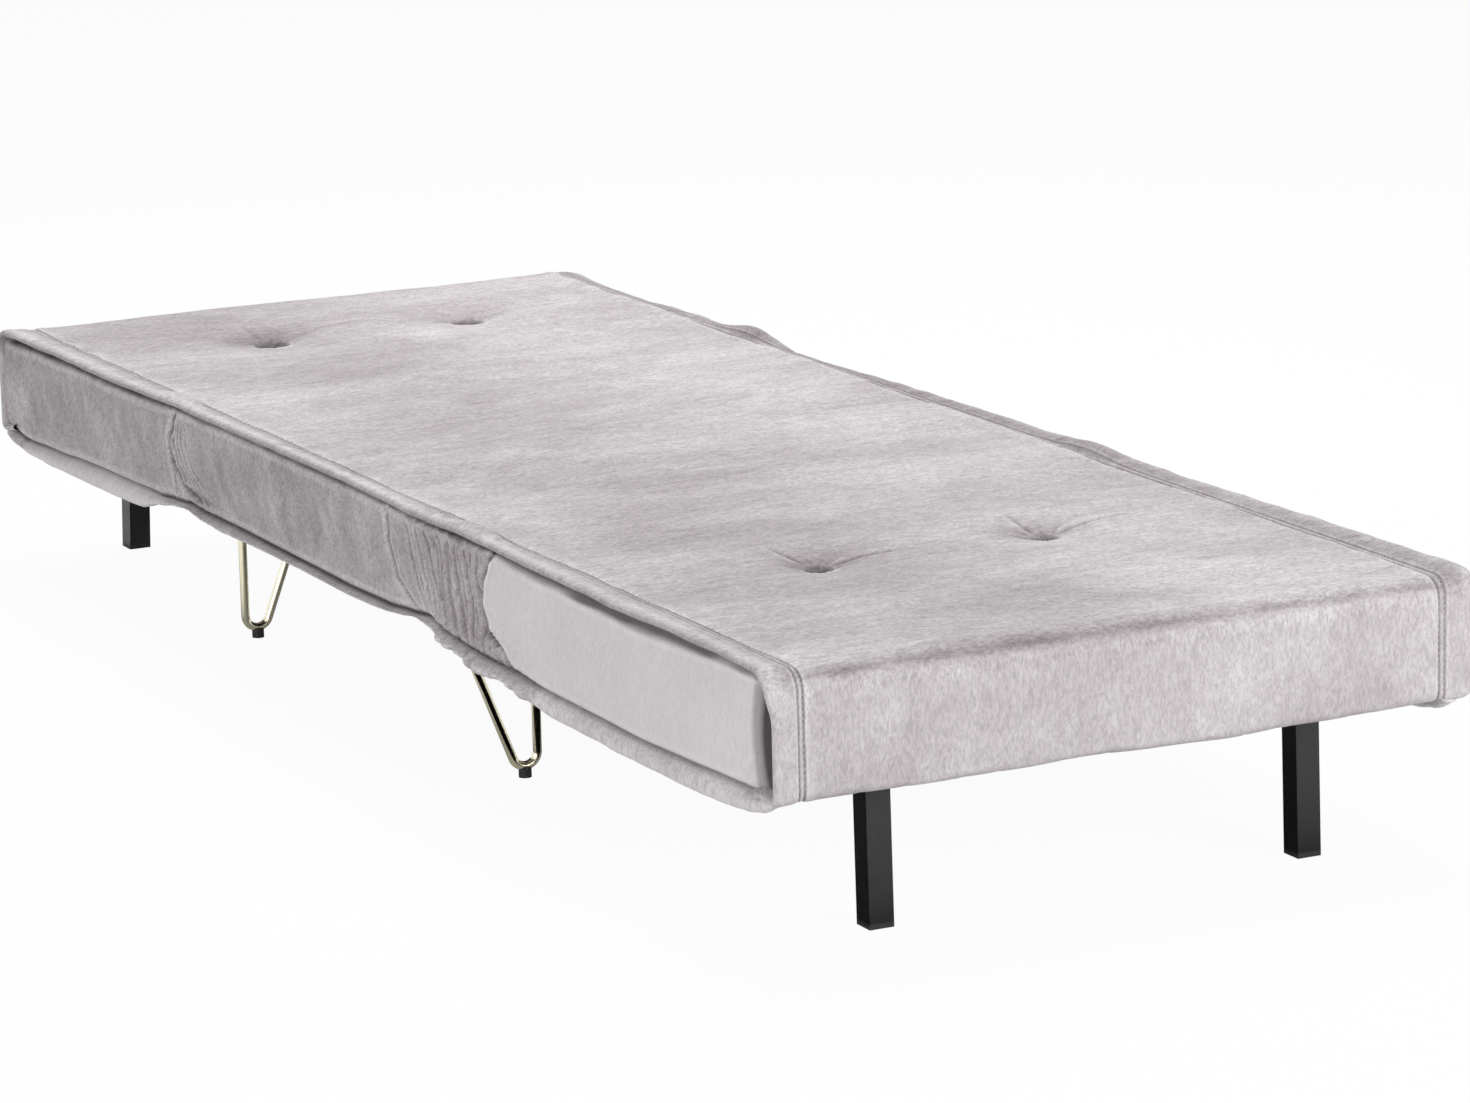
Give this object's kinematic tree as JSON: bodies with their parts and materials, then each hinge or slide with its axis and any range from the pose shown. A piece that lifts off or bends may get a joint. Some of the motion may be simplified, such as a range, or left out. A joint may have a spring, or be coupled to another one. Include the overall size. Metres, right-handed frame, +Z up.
{
  "type": "folding sofa bed",
  "caption": "Upholstered single sofa bed lying flat, with a tilting backrest, a foot section that folds over the seat, gold hairpin legs and black folding legs.",
  "frame": {"origin": "centre of the bounding box at floor level", "axes": "+Z up, +Y along the bed towards the end whose section rises as a backrest, +X across the bed"},
  "size_m": [0.745, 1.932, 0.274],
  "materials": {
    "upholstery": "light grey velvet with a slight lilac tint",
    "foam": "open-cell foam, matt",
    "wadding": "soft wadding, matt",
    "dust_cloth": "thin non-woven cloth, matt",
    "slats": "plain birch, unvarnished",
    "ties": "nylon, matt",
    "frame_steel": "dark powder coat, satin",
    "plate_steel": "dark powder coat, satin",
    "zinc_hardware": "zinc plated",
    "gold_legs": "pale gold, polished",
    "black_legs": "black powder coat, satin",
    "black_rubber": "black, matt"
  },
  "bodies": {
    "seat": {"base_frame": "frame_steel", "base_slats": "slats", "base_foam": "foam", "base_cover": "upholstery", "base_dust_cloth": "dust_cloth", "base_ratchet_plate_left": "plate_steel", "base_ratchet_plate_right": "plate_steel", "base_flap_plate_left": "plate_steel", "base_flap_plate_right": "plate_steel", "base_rivets": "zinc_hardware", "back_pivot_pins": "zinc_hardware", "flap_pivot_pins": "zinc_hardware", "hairpin_rear_left": "gold_legs", "hairpin_rear_right": "gold_legs", "hairpin_front_left": "gold_legs", "hairpin_front_right": "gold_legs", "hairpin_feet": "black_rubber", "hairpin_screws": "zinc_hardware"},
    "backrest": {"back_frame": "frame_steel", "back_slats": "slats", "back_foam": "foam", "back_under_pad": "wadding", "back_cover": "upholstery", "back_tuft_buttons": "upholstery", "back_tuft_ties": "ties", "back_hinge_plate_left": "plate_steel", "back_hinge_plate_right": "plate_steel", "back_rivets": "zinc_hardware", "pawl_pins": "zinc_hardware", "back_leg_bracket_left": "black_legs", "back_leg_bracket_right": "black_legs", "back_leg_bolts": "zinc_hardware"},
    "foot_section": {"flap_frame": "frame_steel", "flap_slats": "slats", "flap_foam": "foam", "flap_under_pad": "wadding", "flap_cover": "upholstery", "flap_tuft_buttons": "upholstery", "flap_tuft_ties": "ties", "flap_hinge_plate_left": "plate_steel", "flap_hinge_plate_right": "plate_steel", "flap_rivets": "zinc_hardware", "flap_leg_bracket_left": "black_legs", "flap_leg_bracket_right": "black_legs", "flap_leg_bolts": "zinc_hardware"},
    "click_arm_left": {"pawl_left": "zinc_hardware"},
    "click_arm_right": {"pawl_right": "zinc_hardware"},
    "rear_leg_left": {"back_leg_left": "black_legs", "back_leg_plug_left": "black_rubber"},
    "rear_leg_right": {"back_leg_right": "black_legs", "back_leg_plug_right": "black_rubber"},
    "front_leg_left": {"flap_leg_left": "black_legs", "flap_leg_plug_left": "black_rubber"},
    "front_leg_right": {"flap_leg_right": "black_legs", "flap_leg_plug_right": "black_rubber"}
  },
  "joints": [
    {"name": "backrest_hinge", "type": "hinge", "parent": "seat", "child": "backrest", "pos_m": [0, 0.454, 0.268], "axis": [1, 0, 0], "range_deg": [0, 75]},
    {"name": "foot_section_hinge", "type": "hinge", "parent": "seat", "child": "foot_section", "pos_m": [0, -0.306, 0.268], "axis": [-1, 0, 0], "range_deg": [0, 179]},
    {"name": "click_arm_left_hinge", "type": "hinge", "parent": "backrest", "child": "click_arm_left", "pos_m": [-0.3445, 0.4735, 0.24015], "axis": [-1, 0, 0], "range_deg": [0, 15]},
    {"name": "click_arm_right_hinge", "type": "hinge", "parent": "backrest", "child": "click_arm_right", "pos_m": [0.3445, 0.4735, 0.24015], "axis": [-1, 0, 0], "range_deg": [0, 15]},
    {"name": "rear_leg_left_hinge", "type": "hinge", "parent": "backrest", "child": "rear_leg_left", "pos_m": [-0.2258, 0.9171, 0.165], "axis": [-1, 0, 0], "range_deg": [0, 94.3]},
    {"name": "front_leg_left_hinge", "type": "hinge", "parent": "foot_section", "child": "front_leg_left", "pos_m": [-0.2258, -0.8905, 0.165], "axis": [1, 0, 0], "range_deg": [0, 91.5]},
    {"name": "rear_leg_right_hinge", "type": "hinge", "parent": "backrest", "child": "rear_leg_right", "pos_m": [0.2258, 0.9171, 0.165], "axis": [-1, 0, 0], "range_deg": [0, 94.3]},
    {"name": "front_leg_right_hinge", "type": "hinge", "parent": "foot_section", "child": "front_leg_right", "pos_m": [0.2258, -0.8905, 0.165], "axis": [1, 0, 0], "range_deg": [0, 91.5]}
  ]
}
